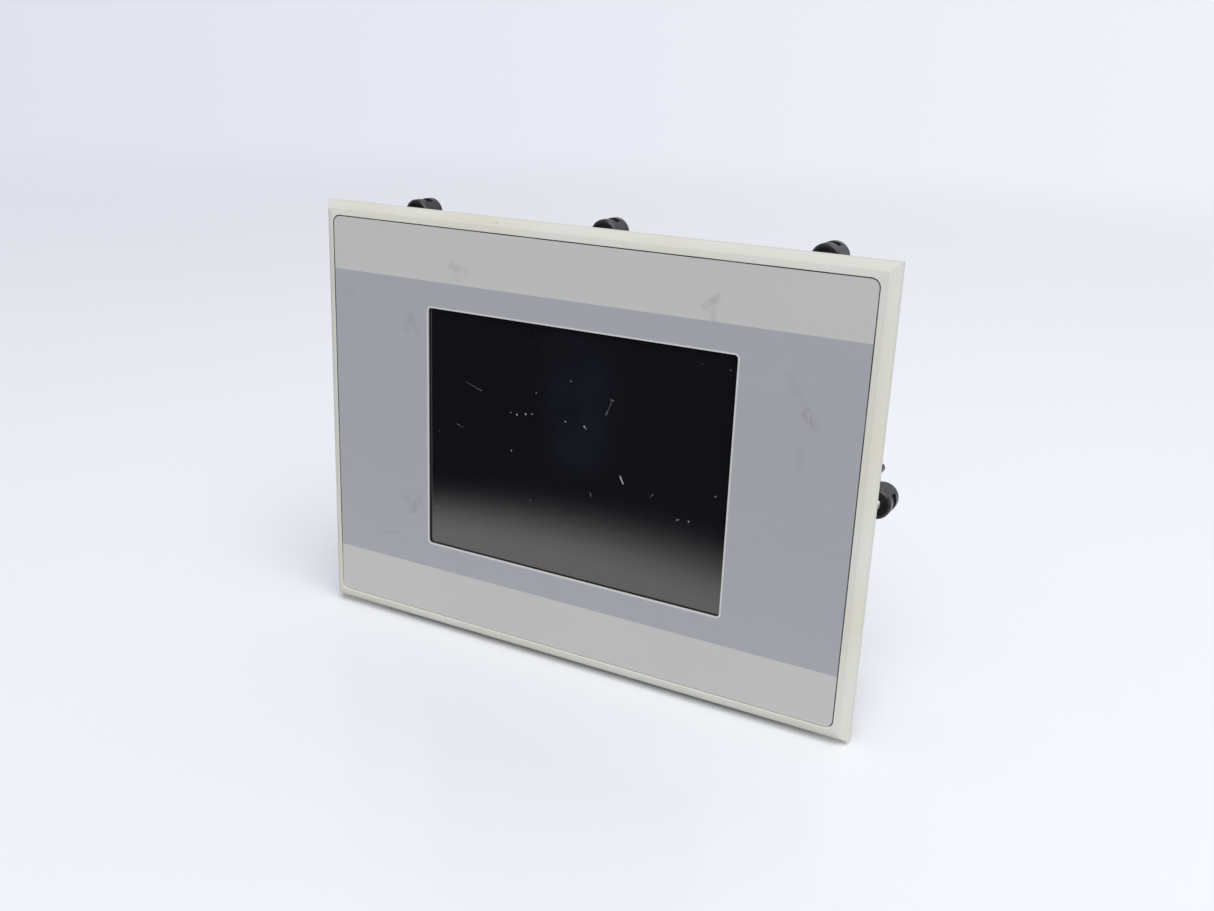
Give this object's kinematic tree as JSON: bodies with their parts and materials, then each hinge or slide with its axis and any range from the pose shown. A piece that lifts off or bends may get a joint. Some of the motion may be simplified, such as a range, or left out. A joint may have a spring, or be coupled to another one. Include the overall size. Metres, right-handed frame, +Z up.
{
  "type": "hmi touch panel",
  "caption": "Flush-mounted operator panel: flat cream bezel with a grey label and a dark touch screen, box housing behind it, and screw clamps round the edge.",
  "frame": {"origin": "middle of the bezel's rear sealing face, which rests on the front of the mounting panel", "axes": "+Z up, +Y backwards into the cabinet, +X to the right seen from the front"},
  "size_m": [0.2142, 0.066, 0.1585],
  "materials": {
    "bezel_plastic": "fine-grained cream moulded plastic",
    "label_film": "printed polyester film, fine texture",
    "gasket_rubber": "soft black sealing rubber",
    "touch_surface": "dark glossy touch surface",
    "clear_glass": "clear glass",
    "foam": "black foam",
    "zinc_steel": "zinc-plated sheet",
    "light_guide": "clear acrylic sheet",
    "white_plastic": "white moulded plastic",
    "fastener_steel": "zinc-plated steel",
    "circuit_board": "green solder mask",
    "chip_plastic": "black moulding",
    "heat_sink_aluminium": "anodised extrusion",
    "flex_film": "amber film",
    "cover_aluminium": "pale grey aluminium sheet, fine grain",
    "rating_foil": "blank silver foil",
    "brass": "plain brass",
    "connector_shell": "tinned steel shell",
    "terminal_plastic": "green moulded plastic",
    "card_plastic": "dark moulded plastic",
    "button_plastic": "black moulded plastic",
    "clamp_plastic": "black glass-filled plastic"
  },
  "bodies": {
    "housing": {"front_bezel": "bezel_plastic", "front_label": "label_film", "panel_gasket": "gasket_rubber", "touch_film": "touch_surface", "touch_glass": "clear_glass", "lcd_gasket": "foam", "lcd_front_frame": "zinc_steel", "lcd_cell": "clear_glass", "light_guide": "light_guide", "backlight_lamp": "clear_glass", "lcd_rear_tray": "white_plastic", "chassis_plate": "zinc_steel", "cover_posts": "fastener_steel", "board_spacers": "fastener_steel", "panhead_screws": "fastener_steel", "main_board": "circuit_board", "board_chips": "chip_plastic", "heat_sink": "heat_sink_aluminium", "inverter_board": "circuit_board", "display_flex": "flex_film", "rear_cover": "cover_aluminium", "rating_plate": "rating_foil", "earth_stud": "brass", "earth_nut": "brass", "serial_port": "connector_shell", "fieldbus_port": "connector_shell", "jack_screws": "fastener_steel", "ethernet_port": "connector_shell", "usb_port": "connector_shell", "power_header": "terminal_plastic", "card_cage": "connector_shell", "battery_cell": "fastener_steel"},
    "clamp_top_left": {"clamp_top_left_body": "clamp_plastic", "clamp_top_left_nut": "fastener_steel"},
    "screw_top_left": {"clamp_top_left_screw": "fastener_steel"},
    "clamp_top_middle": {"clamp_top_middle_body": "clamp_plastic", "clamp_top_middle_nut": "fastener_steel"},
    "screw_top_middle": {"clamp_top_middle_screw": "fastener_steel"},
    "clamp_top_right": {"clamp_top_right_body": "clamp_plastic", "clamp_top_right_nut": "fastener_steel"},
    "screw_top_right": {"clamp_top_right_screw": "fastener_steel"},
    "clamp_bottom_left": {"clamp_bottom_left_body": "clamp_plastic", "clamp_bottom_left_nut": "fastener_steel"},
    "screw_bottom_left": {"clamp_bottom_left_screw": "fastener_steel"},
    "clamp_bottom_middle": {"clamp_bottom_middle_body": "clamp_plastic", "clamp_bottom_middle_nut": "fastener_steel"},
    "screw_bottom_middle": {"clamp_bottom_middle_screw": "fastener_steel"},
    "clamp_bottom_right": {"clamp_bottom_right_body": "clamp_plastic", "clamp_bottom_right_nut": "fastener_steel"},
    "screw_bottom_right": {"clamp_bottom_right_screw": "fastener_steel"},
    "clamp_side_right": {"clamp_side_right_body": "clamp_plastic", "clamp_side_right_nut": "fastener_steel"},
    "screw_side_right": {"clamp_side_right_screw": "fastener_steel"},
    "clamp_side_left": {"clamp_side_left_body": "clamp_plastic", "clamp_side_left_nut": "fastener_steel"},
    "screw_side_left": {"clamp_side_left_screw": "fastener_steel"},
    "card": {"memory_card": "card_plastic"},
    "eject": {"eject_button": "button_plastic"},
    "reset": {"reset_button": "button_plastic"},
    "plug": {"power_plug": "terminal_plastic"}
  },
  "joints": [
    {"name": "clamp_top_left_slide", "type": "slide", "parent": "housing", "child": "clamp_top_left", "axis": [0, 1, 0], "range_m": [0, 0.008]},
    {"name": "screw_top_left_travel", "type": "slide", "parent": "clamp_top_left", "child": "screw_top_left", "axis": [0, -1, 0], "range_m": [-0.006, 0.0039]},
    {"name": "clamp_top_middle_slide", "type": "slide", "parent": "housing", "child": "clamp_top_middle", "axis": [0, 1, 0], "range_m": [0, 0.008]},
    {"name": "screw_top_middle_travel", "type": "slide", "parent": "clamp_top_middle", "child": "screw_top_middle", "axis": [0, -1, 0], "range_m": [-0.006, 0.0039]},
    {"name": "clamp_top_right_slide", "type": "slide", "parent": "housing", "child": "clamp_top_right", "axis": [0, 1, 0], "range_m": [0, 0.008]},
    {"name": "screw_top_right_travel", "type": "slide", "parent": "clamp_top_right", "child": "screw_top_right", "axis": [0, -1, 0], "range_m": [-0.006, 0.0039]},
    {"name": "clamp_bottom_left_slide", "type": "slide", "parent": "housing", "child": "clamp_bottom_left", "axis": [0, 1, 0], "range_m": [0, 0.008]},
    {"name": "screw_bottom_left_travel", "type": "slide", "parent": "clamp_bottom_left", "child": "screw_bottom_left", "axis": [0, -1, 0], "range_m": [-0.006, 0.0039]},
    {"name": "clamp_bottom_middle_slide", "type": "slide", "parent": "housing", "child": "clamp_bottom_middle", "axis": [0, 1, 0], "range_m": [0, 0.008]},
    {"name": "screw_bottom_middle_travel", "type": "slide", "parent": "clamp_bottom_middle", "child": "screw_bottom_middle", "axis": [0, -1, 0], "range_m": [-0.006, 0.0039]},
    {"name": "clamp_bottom_right_slide", "type": "slide", "parent": "housing", "child": "clamp_bottom_right", "axis": [0, 1, 0], "range_m": [0, 0.008]},
    {"name": "screw_bottom_right_travel", "type": "slide", "parent": "clamp_bottom_right", "child": "screw_bottom_right", "axis": [0, -1, 0], "range_m": [-0.006, 0.0039]},
    {"name": "clamp_side_right_slide", "type": "slide", "parent": "housing", "child": "clamp_side_right", "axis": [0, 1, 0], "range_m": [0, 0.008]},
    {"name": "screw_side_right_travel", "type": "slide", "parent": "clamp_side_right", "child": "screw_side_right", "axis": [0, -1, 0], "range_m": [-0.006, 0.0039]},
    {"name": "clamp_side_left_slide", "type": "slide", "parent": "housing", "child": "clamp_side_left", "axis": [0, 1, 0], "range_m": [0, 0.008]},
    {"name": "screw_side_left_travel", "type": "slide", "parent": "clamp_side_left", "child": "screw_side_left", "axis": [0, -1, 0], "range_m": [-0.006, 0.0039]},
    {"name": "card_slide", "type": "slide", "parent": "housing", "child": "card", "axis": [-1, 0, 0], "range_m": [0, 0.03]},
    {"name": "eject_push", "type": "slide", "parent": "housing", "child": "eject", "axis": [1, 0, 0], "range_m": [0, 0.003], "stiffness_N_per_m": 300, "springref_m": -0.001},
    {"name": "reset_push", "type": "slide", "parent": "housing", "child": "reset", "axis": [1, 0, 0], "range_m": [0, 0.0006], "stiffness_N_per_m": 800, "springref_m": -0.0004},
    {"name": "plug_pull", "type": "slide", "parent": "housing", "child": "plug", "axis": [0, 0, -1], "range_m": [0, 0.012]}
  ]
}
